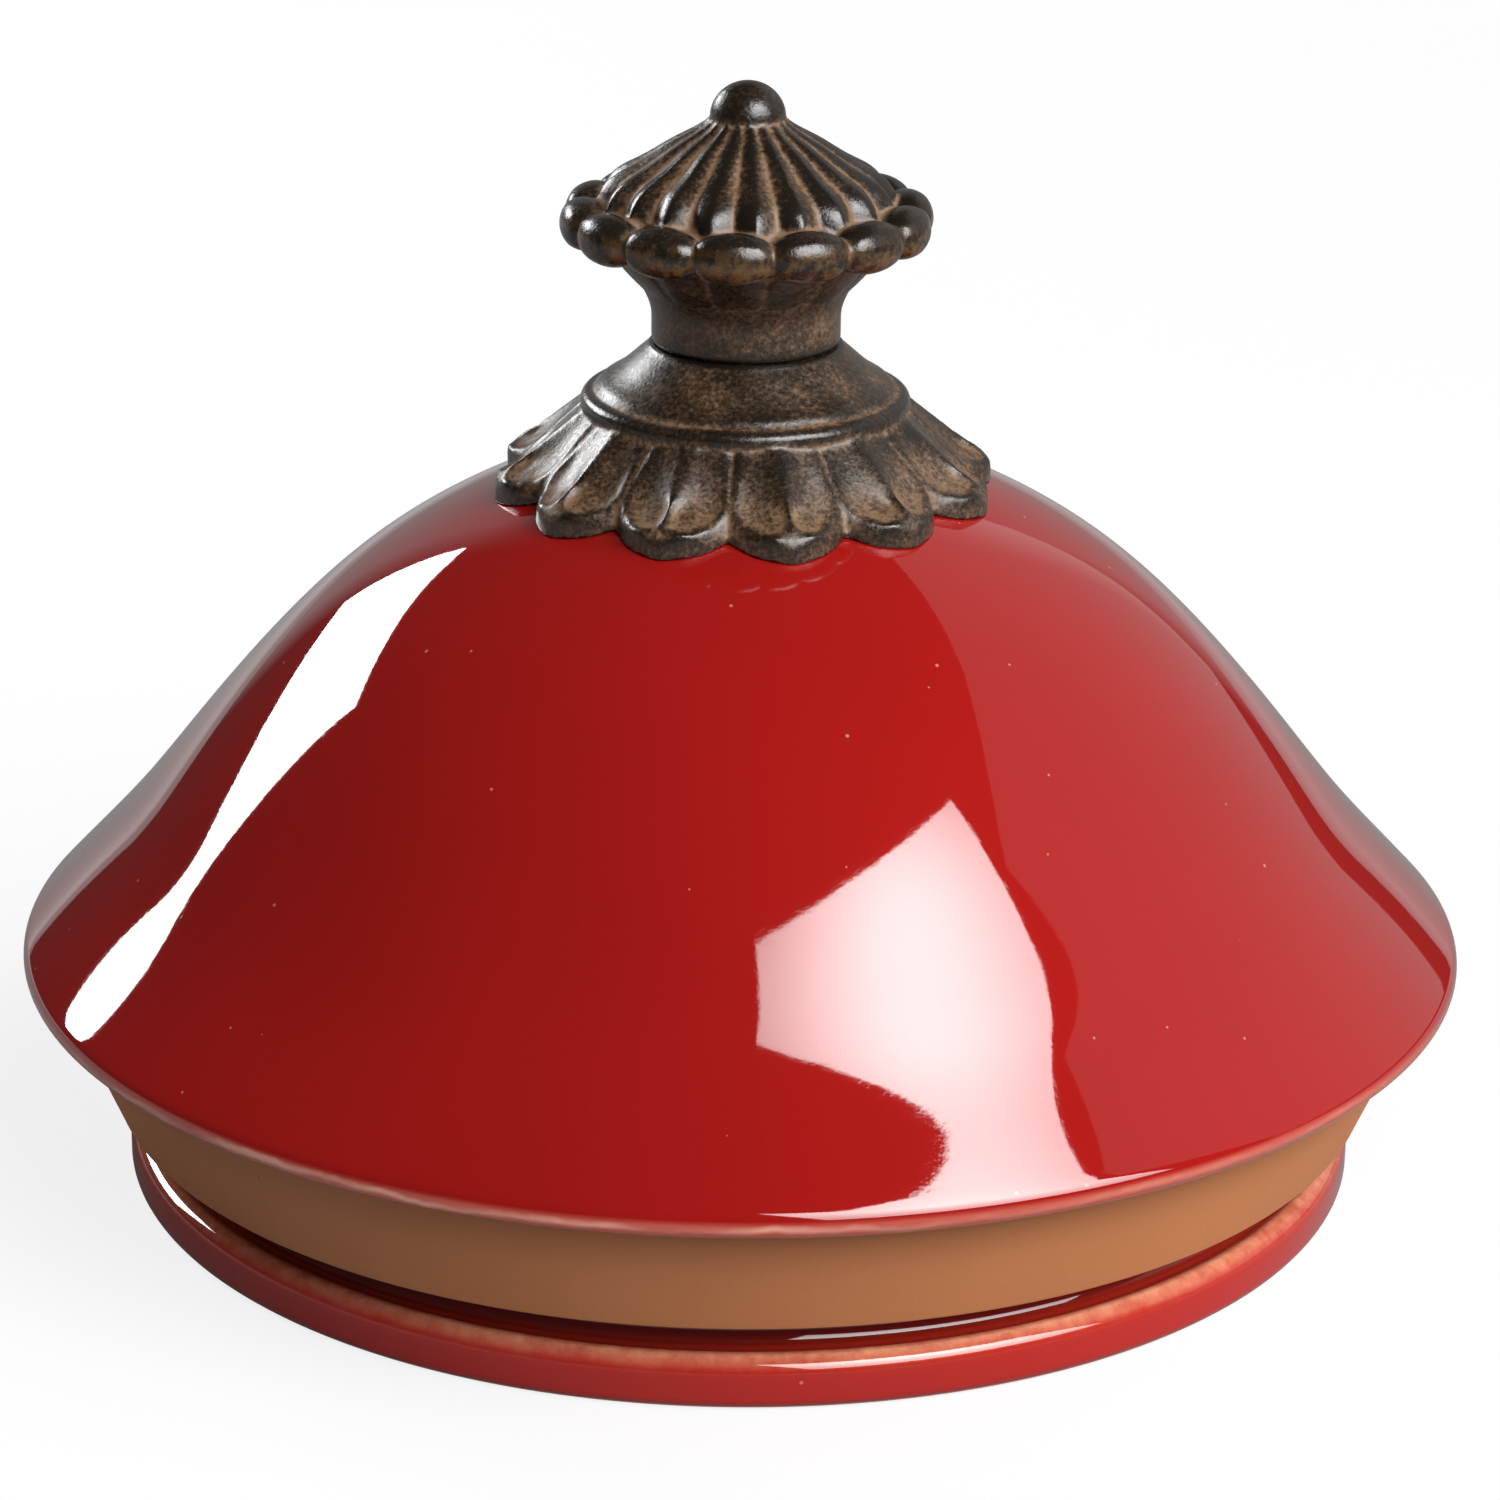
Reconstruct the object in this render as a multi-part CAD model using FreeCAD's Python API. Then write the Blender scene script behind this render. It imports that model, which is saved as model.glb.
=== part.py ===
import FreeCAD, Part
import os
from math import cos, pi, radians, sin, tan

os.makedirs("parts", exist_ok=True)

# Canister lid: a glazed ceramic dome on a plug neck, with a seal ring and a cast finial.
# Millimetres, +Z up, the lid's axis on Z, the foot ring's underside at z = 0.

# Ceramic lid
neck_radius = 72.5
brim_overhang = 17.5
plug_overhang = 5.0
brim_radius = neck_radius + brim_overhang
plug_radius = neck_radius + plug_overhang
brim_edge_radius = 2.6
brim_widest_height = 28.8
brim_slope_angle = 42.8
neck_fillet = 2.0
wall = 5.5
crown_height = 90.0
crown_flat_radius = 16.0
crown_wall = 6.0
plug_wall_length = 2.0
plug_edge_radius = 1.6
crest_round = 2.2
crest_width = 1.2
gutter_depth = 0.4
cove_rise = 2.4
foot_inner_round = 1.5

# Seal ring
seal_bottom_height = 11.3
seal_stand = 6.9
seal_flare = 0.40
seal_lip = 2.4
seal_sleeve = 2.2
seal_root_height = 4.5
seal_neck_gap = 0.1
seal_brim_gap = 0.2

# Clamp stack on the stud
thread_radius = 3.0
thread_play = 0.05
stud_hole_play = 0.3
lid_hole_play = 1.25
collar_pad_inset = 0.5
collar_pad_thickness = 1.5
inner_pad_radius = 11.0
inner_pad_thickness = 1.5
flat_washer_radius = 9.0
flat_washer_thickness = 1.6
lock_washer_radius = 5.9
lock_washer_thickness = 1.5
lock_washer_split = 1.0
nut_flats = 10.0
nut_height = 5.0
nut_chamfer = 0.5
stud_tail = 6.0
stud_engagement = 15.0
stud_chamfer = 0.6

# Cast collar
seat_rise = 15.1
shoulder_inner_radius = 12.2
shoulder_radius = 18.2
shoulder_drop = 5.4
shoulder_bulge = (0.6, 0.46)
groove_depth = 0.7
groove_lean = 0.2
bead_width = 2.4
bead_drop = 2.0
bead_bulge = (0.62, 0.16)
petal_count = 12
petal_first_angle = 11.0
petal_tip_radius = 31.0
petal_tip_drop = 1.9
petal_rim_low = 1.6
petal_rim_high = 1.0
petal_side_share = 0.95
petal_root_gap = 0.3
petal_turn_radius = 5.4
petal_overlap = 0.45
petal_sink = 0.45
lobe_radius_low = 4.2
lobe_radius_high = 4.2
lobe_depth_low = 1.0
lobe_depth_high = 0.6
lobe_offset_low = 2.75
lobe_offset_high = 2.3
lobe_tip_share = 0.3
lobe_root_share = 0.6
collar_shell = 3.6
collar_boss_radius = 13.0
glaze_gap = 0.3
hollow_reach = 4.0
hollow_lean = 1.2
foot_clearance = 2.0

# Cast knob
neck_foot_radius = 11.5
neck_foot_round = 0.8
neck_waist_height = 3.4
neck_flare_radius = 17.6
neck_flare_way = (1, 0.5)
neck_bend = (0.18, 0.46)
bead_ring_radius = 19.6
bead_ring_height = 15.1
knob_bead_count = 14
knob_bead_first_angle = 8.5
knob_bead_radius = 3.1
knob_bead_barrel = 0.5
knob_bead_end_round = 2.3
knob_bead_overlap = 0.5
knob_bead_seat = 0.8
flute_count = 20
flute_first_angle = 12.6
flute_depth = 1.1
cap_base_radius = 17.3
cap_height = 9.9
cap_sink = 0.75
cap_core_inset = 1.0
button_radius = 4.6
button_lift = 0.3

up = FreeCAD.Vector(0, 0, 1)
origin = FreeCAD.Vector(0, 0, 0)


def at(radius, height):
    return FreeCAD.Vector(radius, 0, height)


def line(start, end):
    return Part.LineSegment(at(*start), at(*end)).toShape()


def arc(start, middle, end):
    return Part.Arc(at(*start), at(*middle), at(*end)).toShape()


def curve(points, first_direction=None, last_direction=None):
    spline = Part.BSplineCurve()
    vectors = [at(*point) for point in points]
    if first_direction is None:
        spline.interpolate(vectors)
    else:
        spline.interpolate(vectors, InitialTangent=at(*first_direction), FinalTangent=at(*last_direction))
    return spline.toShape()


def round_corner(centre, radius, start_angle, end_angle):
    def on_circle(angle):
        return (centre[0] + radius * cos(radians(angle)), centre[1] + radius * sin(radians(angle)))

    return arc(on_circle(start_angle), on_circle((start_angle + end_angle) / 2), on_circle(end_angle))


def turned(edges):
    face = Part.Face(Part.Wire(Part.__sortEdges__(edges)))
    return face.revolve(origin, up, 360)


def turned_outline(points):
    closed = points + points[:1]
    return turned([line(closed[i], closed[i + 1]) for i in range(len(points))])


def tube(inner_radius, outer_radius, bottom, top):
    outer = Part.makeCylinder(outer_radius, top - bottom, at(0, bottom))
    return outer.cut(Part.makeCylinder(inner_radius, top - bottom, at(0, bottom)))


def around(shape, count, first_angle):
    copies = []
    for i in range(count):
        copy = shape.copy()
        # the front of the lid faces -Y, and angles run from there towards +X
        copy.rotate(origin, up, first_angle - 90 + 360 * i / count)
        copies.append(copy)
    return copies


# Heights of the stack, from the crown outwards
seat_height = crown_height + seat_rise
petal_tip_height = crown_height - petal_tip_drop
crown_inside = crown_height - crown_wall
collar_bottom = crown_height + collar_pad_thickness
inner_pad_bottom = crown_inside - inner_pad_thickness
flat_washer_bottom = inner_pad_bottom - flat_washer_thickness
lock_washer_bottom = flat_washer_bottom - lock_washer_thickness
nut_bottom = lock_washer_bottom - nut_height
stud_bottom = nut_bottom - stud_tail
stud_top = seat_height + stud_engagement
lid_hole_radius = thread_radius + lid_hole_play
stud_hole_radius = thread_radius + stud_hole_play

# Dome outside: points as shares of the brim radius and of the dome's rise
brim_centre = (brim_radius - brim_edge_radius, brim_widest_height)
brim_underside = brim_widest_height - brim_edge_radius
dome_start = (
    brim_centre[0] + brim_edge_radius * cos(radians(brim_slope_angle)),
    brim_centre[1] + brim_edge_radius * sin(radians(brim_slope_angle)),
)
dome_rise = crown_height - dome_start[1]
dome_shares = [(0.862, 0.211), (0.788, 0.349), (0.672, 0.566), (0.533, 0.768), (0.344, 0.936)]
dome_points = [dome_start]
for radius_share, rise_share in dome_shares:
    dome_points.append((radius_share * brim_radius, dome_start[1] + rise_share * dome_rise))
dome_points.append((crown_flat_radius, crown_height))


def dome_curve(gap):
    moved = []
    for i, point in enumerate(dome_points):
        before = dome_points[max(i - 1, 0)]
        after = dome_points[min(i + 1, len(dome_points) - 1)]
        run = (after[0] - before[0], after[1] - before[1])
        size = (run[0] ** 2 + run[1] ** 2) ** 0.5
        normal = (run[1] / size, -run[0] / size)
        if i == len(dome_points) - 1:
            normal = (0, 1)
        moved.append((point[0] + gap * normal[0], point[1] + gap * normal[1]))
    return moved


def dome_edge(points):
    start = (-sin(radians(brim_slope_angle)), cos(radians(brim_slope_angle)))
    return curve(points, start, (-1, 0))


neck_inner = neck_radius - wall
plug_top = plug_edge_radius + plug_wall_length
crest_height = plug_top + crest_round
crest_centre = plug_radius - crest_round
crest_inner = crest_centre - crest_width
gutter_floor = crest_height - gutter_depth
cove_top = (neck_radius, gutter_floor + cove_rise)
underside_start = neck_radius + neck_fillet
inside_points = dome_curve(-wall)[1:-1]
inside_start = (neck_inner, brim_underside - wall)
inside_curve_points = [inside_start] + inside_points + [(crown_flat_radius - wall / 2, crown_inside)]
lid_edges = [
    line((neck_inner + foot_inner_round, 0), (plug_radius - plug_edge_radius, 0)),
    round_corner((plug_radius - plug_edge_radius, plug_edge_radius), plug_edge_radius, -90, 0),
    line((plug_radius, plug_edge_radius), (plug_radius, plug_top)),
    round_corner((crest_centre, plug_top), crest_round, 0, 90),
    curve([(crest_centre, crest_height), (crest_inner, gutter_floor), cove_top], (-1, 0), (0, 1)),
    line(cove_top, (neck_radius, brim_underside - neck_fillet)),
    round_corner((underside_start, brim_underside - neck_fillet), neck_fillet, 180, 90),
    line((underside_start, brim_underside), (brim_centre[0], brim_underside)),
    round_corner(brim_centre, brim_edge_radius, -90, brim_slope_angle),
    dome_edge(dome_points),
    line(dome_points[-1], (lid_hole_radius, crown_height)),
    line((lid_hole_radius, crown_height), (lid_hole_radius, crown_inside)),
    line((lid_hole_radius, crown_inside), inside_curve_points[-1]),
    curve(inside_curve_points, (0, 1), (-1, 0)),
    line(inside_start, (neck_inner, foot_inner_round)),
    round_corner((neck_inner + foot_inner_round, foot_inner_round), foot_inner_round, 180, 270),
]
lid_shell = turned(lid_edges)

# Seal ring: a sleeve on the neck, a root under the brim and a lip that widens upwards
seal_top = brim_underside - seal_brim_gap
seal_inner = neck_radius + seal_neck_gap
seal_bottom_radius = neck_radius + seal_stand
seal_rise = seal_top - seal_bottom_height
seal_top_radius = seal_bottom_radius + seal_flare * seal_rise
root_bottom = seal_top - seal_root_height
root_share = (root_bottom - seal_bottom_height) / seal_rise
lip_inner_bottom = seal_bottom_radius - seal_lip
lip_inner_root = seal_bottom_radius + seal_flare * root_share * seal_rise - seal_lip
sleeve_outer = seal_inner + seal_sleeve
seal_shoulder = seal_inner + neck_fillet
seal_ring = turned_outline([
    (seal_inner, seal_bottom_height),
    (sleeve_outer, seal_bottom_height),
    (sleeve_outer, root_bottom),
    (lip_inner_root, root_bottom),
    (lip_inner_bottom, seal_bottom_height),
    (seal_bottom_radius, seal_bottom_height),
    (seal_top_radius, seal_top),
    (seal_shoulder, seal_top),
    (seal_inner, seal_top - neck_fillet),
])

# Collar body: shoulder, groove, bead, groove, then the slope that carries the petals
shoulder_foot = seat_height - shoulder_drop
groove_floor = shoulder_foot - groove_depth
bead_start = shoulder_radius + groove_depth * groove_lean
bead_end = bead_start + bead_width
bead_foot = groove_floor - bead_drop

# Petal frame: the rim's centre line runs down the slope from the bead to the tip
tip_centre = (petal_tip_radius - petal_rim_low, petal_tip_height)
root_centre = (bead_end + petal_root_gap, bead_foot - petal_rim_high)
slope_run = (tip_centre[0] - root_centre[0], tip_centre[1] - root_centre[1])
slope_length = (slope_run[0] ** 2 + slope_run[1] ** 2) ** 0.5
slope_way = (slope_run[0] / slope_length, slope_run[1] / slope_length)


def on_slope(along, across, lift):
    radius = root_centre[0] + along * slope_way[0] - lift * slope_way[1]
    height = root_centre[1] + along * slope_way[1] + lift * slope_way[0]
    return FreeCAD.Vector(radius, across, height)


plate_root = on_slope(0, 0, petal_rim_high - petal_sink)
plate_tip = on_slope(slope_length, 0, petal_rim_low - petal_sink)
collar_floor = tip_centre[1] - 2 * petal_rim_low
collar_edges = [
    line((0, collar_floor), (0, seat_height)),
    line((0, seat_height), (shoulder_inner_radius, seat_height)),
    arc(
        (shoulder_inner_radius, seat_height),
        (
            shoulder_inner_radius + shoulder_bulge[0] * (shoulder_radius - shoulder_inner_radius),
            seat_height - shoulder_bulge[1] * shoulder_drop,
        ),
        (shoulder_radius, shoulder_foot),
    ),
    line((shoulder_radius, shoulder_foot), (bead_start, groove_floor)),
    arc(
        (bead_start, groove_floor),
        (bead_start + bead_bulge[0] * bead_width, groove_floor - bead_bulge[1] * bead_drop),
        (bead_end, bead_foot),
    ),
    line((bead_end, bead_foot), (plate_root.x, plate_root.z)),
    line((plate_root.x, plate_root.z), (plate_tip.x, plate_tip.z)),
    line((plate_tip.x, plate_tip.z), (plate_tip.x, collar_floor)),
    line((plate_tip.x, collar_floor), (0, collar_floor)),
]
collar = turned(collar_edges)

# Scalloped plan: one arc a petal, from notch to notch, under the middle of the rims
half_petal = radians(180 / petal_count)
turn_centre = on_slope(slope_length - petal_turn_radius, 0, 0)
notch_radius = turn_centre.x
scallop_edges = []
for i in range(petal_count):
    middle = radians(petal_first_angle - 90 + 360 * i / petal_count)
    ends = []
    for side in (-1, 1):
        angle = middle + side * half_petal
        ends.append(FreeCAD.Vector(notch_radius * cos(angle), notch_radius * sin(angle), collar_floor - 1))
    tip = FreeCAD.Vector(tip_centre[0] * cos(middle), tip_centre[0] * sin(middle), collar_floor - 1)
    scallop_edges.append(Part.Arc(ends[0], tip, ends[1]).toShape())
plan = Part.Face(Part.Wire(scallop_edges)).extrude(FreeCAD.Vector(0, 0, seat_height - collar_floor + 2))
collar = collar.common(plan)


def tapered_capsule(start, start_radius, end, end_radius):
    run = end.sub(start)
    length = run.Length
    lean = (start_radius - end_radius) / length
    rise = (1 - lean ** 2) ** 0.5
    part_way = cos(pi / 4)
    start_touch = (start_radius * rise, start_radius * lean)
    start_middle = (start_radius * part_way, -start_radius * part_way)
    end_touch = (end_radius * rise, length + end_radius * lean)
    end_middle = (end_radius * part_way, length + end_radius * part_way)
    edges = [
        line((0, -start_radius), (0, length + end_radius)),
        arc((0, -start_radius), start_middle, start_touch),
        line(start_touch, end_touch),
        arc(end_touch, end_middle, (0, length + end_radius)),
    ]
    capsule = turned(edges)
    capsule.Placement = FreeCAD.Placement(start, FreeCAD.Rotation(up, run))
    return capsule


# Petal rim: a thick lip round the tip, thinning up both sides to the bead
lip_sweep = 200.0
lip_axis = on_slope(0, 0, 1).sub(on_slope(0, 0, 0))
lip_circle = Part.makeCircle(petal_rim_low, on_slope(slope_length, 0, 0), FreeCAD.Vector(0, 1, 0))
lip_face = Part.Face(Part.Wire(lip_circle))
lip_face.rotate(turn_centre, lip_axis, -lip_sweep / 2)
lip = lip_face.revolve(turn_centre, lip_axis, lip_sweep)
petal_sides = []
lobes = []
for side in (-1, 1):
    side_low = on_slope(slope_length - petal_turn_radius, side * petal_turn_radius, 0)
    side_across = root_centre[0] * tan(half_petal) - petal_rim_high + petal_overlap
    side_high = on_slope(0, side * side_across, -petal_sink)
    side_radius = petal_side_share * petal_rim_low
    petal_sides.append(tapered_capsule(side_low, side_radius, side_high, petal_rim_high))
    lobe_low = on_slope(
        slope_length - petal_rim_low - lobe_tip_share * lobe_radius_low,
        side * lobe_offset_low,
        petal_rim_low - petal_sink + lobe_radius_low - lobe_depth_low,
    )
    lobe_high = on_slope(
        lobe_root_share * lobe_radius_high,
        side * lobe_offset_high,
        petal_rim_high - petal_sink + lobe_radius_high - lobe_depth_high,
    )
    lobes.append(tapered_capsule(lobe_low, lobe_radius_low, lobe_high, lobe_radius_high))
petal_rim = lip.fuse(petal_sides)
collar = collar.fuse(around(petal_rim, petal_count, petal_first_angle))
for lobe in lobes:
    collar = collar.cut(around(lobe, petal_count, petal_first_angle))

# Underside: clear of the glaze, hollow round a boss that stands on the pad
glaze_points = dome_curve(glaze_gap)
glaze_solid = turned([
    line((0, 0), (glaze_points[0][0], 0)),
    line((glaze_points[0][0], 0), glaze_points[0]),
    dome_edge(glaze_points),
    line(glaze_points[-1], (0, glaze_points[-1][1])),
    line((0, glaze_points[-1][1]), (0, 0)),
])
hollow_top = groove_floor - collar_shell
hollow = turned_outline([
    (collar_boss_radius, crown_height),
    (bead_end + hollow_reach, crown_height - foot_clearance),
    (bead_start, hollow_top),
    (collar_boss_radius, hollow_top + hollow_lean),
])
below_boss = Part.makeCylinder(collar_boss_radius, collar_pad_thickness, at(0, crown_height))
stud_bore = Part.makeCylinder(stud_hole_radius, seat_height, origin)
petal_collar = collar.cut([glaze_solid, hollow, below_boss, stud_bore])

# Knob body: neck, flare and the core of the bead ring
bead_height = seat_height + bead_ring_height
neck_rise = bead_height - seat_height
cap_base = bead_height + cap_sink * knob_bead_radius
flare_height = bead_height - knob_bead_seat * knob_bead_radius
cap_core_radius = cap_base_radius - cap_core_inset
neck_spread = neck_flare_radius - neck_foot_radius
cap_top = cap_base + cap_height
foot_flat_radius = neck_foot_radius - neck_foot_round
knob_edges = [
    line((0, seat_height), (foot_flat_radius, seat_height)),
    round_corner((foot_flat_radius, seat_height + neck_foot_round), neck_foot_round, -90, 0),
    line(
        (neck_foot_radius, seat_height + neck_foot_round),
        (neck_foot_radius, seat_height + neck_waist_height),
    ),
    curve(
        [
            (neck_foot_radius, seat_height + neck_waist_height),
            (neck_foot_radius + neck_bend[0] * neck_spread, seat_height + neck_bend[1] * neck_rise),
            (neck_flare_radius, flare_height),
        ],
        (0, 1),
        neck_flare_way,
    ),
    line((neck_flare_radius, flare_height), (bead_ring_radius, bead_height)),
    line((bead_ring_radius, bead_height), (cap_core_radius, cap_base)),
    line((cap_core_radius, cap_base), (0, cap_base)),
    line((0, cap_base), (0, seat_height)),
]
knob = turned(knob_edges)

# One barrel-shaped bead, lying along the ring
bead_half = bead_ring_radius * tan(pi / knob_bead_count) + knob_bead_overlap
barrel_half = bead_half - knob_bead_end_round
barrel_end = knob_bead_radius - knob_bead_barrel
bead_face = Part.Face(Part.Wire(Part.__sortEdges__([
    line((-bead_half, 0), (bead_half, 0)),
    line((bead_half, 0), (bead_half, barrel_end - knob_bead_end_round)),
    round_corner((barrel_half, barrel_end - knob_bead_end_round), knob_bead_end_round, 0, 90),
    arc((barrel_half, barrel_end), (0, knob_bead_radius), (-barrel_half, barrel_end)),
    round_corner((-barrel_half, barrel_end - knob_bead_end_round), knob_bead_end_round, 90, 180),
    line((-bead_half, barrel_end - knob_bead_end_round), (-bead_half, 0)),
])))
knob_bead = bead_face.revolve(origin, FreeCAD.Vector(1, 0, 0), 360)
knob_bead.rotate(origin, up, 90)
knob_bead.translate(at(bead_ring_radius, bead_height))
half_bead_turn = 180 / knob_bead_count
knob_beads = around(knob_bead, knob_bead_count, knob_bead_first_angle + half_bead_turn)


# Fluted cap: a loft through rings of small arcs, which shrink towards the button
def fluted_ring(radius, height, depth):
    edges = []
    step = 2 * pi / flute_count
    first = radians(flute_first_angle - 90)
    for i in range(flute_count):
        corners = []
        for turn, reach in ((i, radius - depth), (i + 0.5, radius), (i + 1, radius - depth)):
            angle = first + turn * step
            corners.append(FreeCAD.Vector(reach * cos(angle), reach * sin(angle), height))
        edges.append(Part.Arc(*corners).toShape())
    return Part.Wire(edges)


cap_shares = [(1.0, -0.06, 1.0), (0.955, 0.2, 1.0), (0.735, 0.46, 0.9), (0.5, 0.74, 0.7), (0.27, 1.0, 0.4)]
cap_rings = []
for radius_share, rise_share, depth_share in cap_shares:
    ring_height = cap_base + rise_share * cap_height
    cap_rings.append(fluted_ring(radius_share * cap_base_radius, ring_height, depth_share * flute_depth))
cap = Part.makeLoft(cap_rings, True, False)
button = Part.makeSphere(button_radius, at(0, cap_top + button_lift))

finial_knob = knob.fuse(knob_beads + [cap, button])
knob_bore = Part.makeCylinder(thread_radius + thread_play, stud_engagement + 1, at(0, seat_height))
finial_knob = finial_knob.cut(knob_bore)

# Stud, pads, washers and nut
finial_stud = turned_outline([
    (0, stud_bottom),
    (thread_radius - stud_chamfer, stud_bottom),
    (thread_radius, stud_bottom + stud_chamfer),
    (thread_radius, stud_top - stud_chamfer),
    (thread_radius - stud_chamfer, stud_top),
    (0, stud_top),
])
collar_pad = tube(stud_hole_radius, collar_boss_radius - collar_pad_inset, crown_height, collar_bottom)
inner_pad = tube(stud_hole_radius, inner_pad_radius, inner_pad_bottom, crown_inside)
flat_washer = tube(stud_hole_radius, flat_washer_radius, flat_washer_bottom, inner_pad_bottom)
lock_washer = tube(stud_hole_radius, lock_washer_radius, lock_washer_bottom, flat_washer_bottom)
split = Part.makeBox(
    lock_washer_split,
    lock_washer_radius * 2,
    lock_washer_thickness,
    FreeCAD.Vector(-lock_washer_split / 2, 0, lock_washer_bottom),
)
lock_washer = lock_washer.cut(split)

corner = nut_flats / 2 / cos(pi / 6)
nut_points = []
for i in range(7):
    angle = i * pi / 3
    nut_points.append(FreeCAD.Vector(corner * cos(angle), corner * sin(angle), nut_bottom))
nut_blank = Part.Face(Part.makePolygon(nut_points)).extrude(FreeCAD.Vector(0, 0, nut_height))
nut_round = turned_outline([
    (0, nut_bottom),
    (corner - nut_chamfer * 2, nut_bottom),
    (corner, nut_bottom + nut_chamfer),
    (corner, lock_washer_bottom - nut_chamfer),
    (corner - nut_chamfer * 2, lock_washer_bottom),
    (0, lock_washer_bottom),
])
nut_bore = Part.makeCylinder(thread_radius + thread_play, nut_height, at(0, nut_bottom))
hex_nut = nut_blank.common(nut_round).cut(nut_bore)

nodes = {
    "lid_shell": lid_shell,
    "seal_ring": seal_ring,
    "petal_collar": petal_collar,
    "finial_knob": finial_knob,
    "finial_stud": finial_stud,
    "collar_pad": collar_pad,
    "inner_pad": inner_pad,
    "flat_washer": flat_washer,
    "lock_washer": lock_washer,
    "hex_nut": hex_nut,
}
for name, shape in nodes.items():
    print(name, "solids", len(shape.Solids), "valid", shape.isValid(), "volume", round(shape.Volume, 1))
    shape.exportStep("parts/" + name + ".step")
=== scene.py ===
from math import atan2, cos, degrees, hypot, pi, radians, sin

import bmesh
import bpy
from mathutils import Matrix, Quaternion, Vector


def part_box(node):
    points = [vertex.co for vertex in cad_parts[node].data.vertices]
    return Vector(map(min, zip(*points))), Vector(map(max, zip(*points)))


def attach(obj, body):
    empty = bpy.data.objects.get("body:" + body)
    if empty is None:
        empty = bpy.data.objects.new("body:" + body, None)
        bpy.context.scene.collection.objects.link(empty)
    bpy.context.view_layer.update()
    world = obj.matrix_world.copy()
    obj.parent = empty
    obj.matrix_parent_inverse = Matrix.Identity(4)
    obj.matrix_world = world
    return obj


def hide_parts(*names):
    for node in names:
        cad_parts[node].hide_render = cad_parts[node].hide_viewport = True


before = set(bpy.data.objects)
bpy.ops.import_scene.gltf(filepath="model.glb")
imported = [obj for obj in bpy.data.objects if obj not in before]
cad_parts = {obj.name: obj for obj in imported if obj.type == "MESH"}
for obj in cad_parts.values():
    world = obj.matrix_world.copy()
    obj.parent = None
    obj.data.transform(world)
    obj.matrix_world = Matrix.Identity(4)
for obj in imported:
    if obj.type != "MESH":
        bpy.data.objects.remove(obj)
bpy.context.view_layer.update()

# Sizes are in millimetres, as in the CAD part; MM turns them into Blender's metres
MM = 0.001

# Fineness of the meshes
turn_steps = 256
casting_turn_steps = 180
weld_distance = 0.002
collar_grain = 0.34
collar_soften = 2
knob_grain = 0.27
knob_soften = 3
hollow_reach = 45
edge_reach = 8

# Glazed lid
brim_radius = 90.0
brim_edge_radius = 2.6
brim_lip_radius = 1.5
brim_widest_height = 28.8
brim_slope_angle = 42.8
neck_radius = 72.5
neck_fillet = 2.0
wall = 5.5
crown_height = 90.0
crown_flat_radius = 16.0
crown_wall = 6.0
stud_hole_radius = 4.25
plug_radius = 77.5
plug_wall_length = 2.7
plug_edge_radius = 1.6
crest_round = 2.2
crest_width = 1.2
gutter_depth = 0.4
cove_rise = 2.4
foot_inner_round = 1.5

# Seal band
seal_bottom_height = 11.3
seal_bottom_radius = 79.4
seal_flare = 0.40
seal_lip = 2.4
seal_sleeve = 2.2
seal_root_height = 4.5
seal_neck_gap = 0.1
seal_brim_gap = 0.2
seal_edge_round = 0.45

# Cast collar
seat_height = 105.1
shoulder_inner_radius = 12.2
shoulder_radius = 18.2
shoulder_drop = 5.4
shoulder_points = [(-0.2, -0.4), (2.2, -2.5), (4.4, -4.2)]
shoulder_edge = (0.1, -0.3)
groove_depth = 0.6
bead_radius = 1.25
bead_offset = (0.7, -1.8)
collar_bore = 3.3
collar_plate_radius = 27.5
glaze_gap = 0.15
petal_count = 12
petal_first_angle = 11.0
petal_half_width = 6.5
petal_root_width = 0.70
petal_tail = 3.2
petal_root = (21.2, 96.6)
petal_tip = (30.4, 88.6)
lip_round = 1.2
lip_height = 1.6
lip_bulge = 0.65
petal_rim = 0.55
lobe_wall = 0.5
lobe_depth = 0.32
lobe_floor_inset = 0.9
lobe_floor_drop = 0.22
midrib_half_width = 0.17
bud_length = 1.7
lip_curl = 1.0
petal_arch = 0.2
lip_curl_reaches = (3.2, 1.6)
lobe_start = 2.6
valley_half_angle = 2.5
calm_inner_radius = 21.0
calm_root_rise = 0.4
calm_fade_shares = (0.45, 0.85)
calm_rounds = 40

# Cast knob
neck_foot_radius = 11.5
neck_foot_round = 0.8
neck_waist_height = 3.4
neck_flare_radius = 17.6
bead_ring_radius = 19.6
bead_ring_height = 15.1
knob_bead_count = 14
knob_bead_first_angle = 8.5
knob_bead_radius = 3.1
knob_bead_half = 5.15
bead_squareness = 0.07
gadroon_size = (0.8, 3.6, 5.0)
gadroon_radius = 14.3
gadroon_drop = 5.2
gadroon_tilt = 41
flute_count = 20
flute_first_angle = 12.6
flute_depth = 0.085
flute_sharpness = 1.3
columns_per_flute = 8
cap_base_radius = 18.2
cap_height = 9.9
cap_shares = [(1.0, -0.08), (0.985, 0.08), (0.92, 0.26), (0.735, 0.47), (0.5, 0.74), (0.27, 1.0)]
button_radius = 4.6
button_squash = 0.96
button_lift = 0.3

# Threaded stud
thread_radius = 2.98
thread_depth = 0.55
thread_pitch = 1.0


# Outlines: lists of (radius, height) points

def arc_points(centre, radius, start_angle, end_angle, steps):
    points = []
    for i in range(steps + 1):
        angle = radians(start_angle + (end_angle - start_angle) * i / steps)
        points.append((centre[0] + radius * cos(angle), centre[1] + radius * sin(angle)))
    return points


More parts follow.
